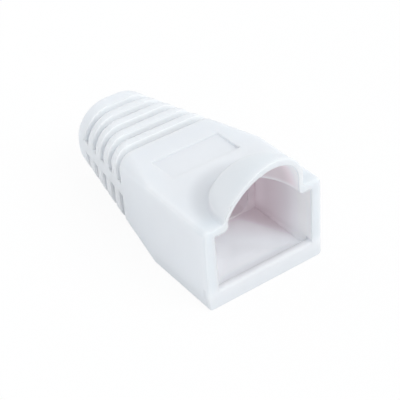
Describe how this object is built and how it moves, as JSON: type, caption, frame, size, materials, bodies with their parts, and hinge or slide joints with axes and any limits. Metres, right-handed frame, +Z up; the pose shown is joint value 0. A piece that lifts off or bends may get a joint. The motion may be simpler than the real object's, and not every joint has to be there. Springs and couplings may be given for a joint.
{
  "type": "rj45_strain_relief_boot",
  "caption": "One-piece soft strain relief boot for a modular network plug: rectangular plug socket, egg-shaped latch hood, tapering slotted tail with a round cable bore",
  "frame": {"origin": "Middle of the flat underside of the plug housing, half way between the mouth and the shoulder, on the plane that the boot lies on", "axes": "+Y runs from the mouth to the end of the tail, the way the cable leaves; +Z points up, from the flat underside to the hood; +X points to the right when looking along +Y"},
  "size_m": [0.0142, 0.0301, 0.0158],
  "materials": {
    "soft_white": "satin"
  },
  "bodies": {
    "root": {"boot": "soft_white"}
  },
  "joints": []
}
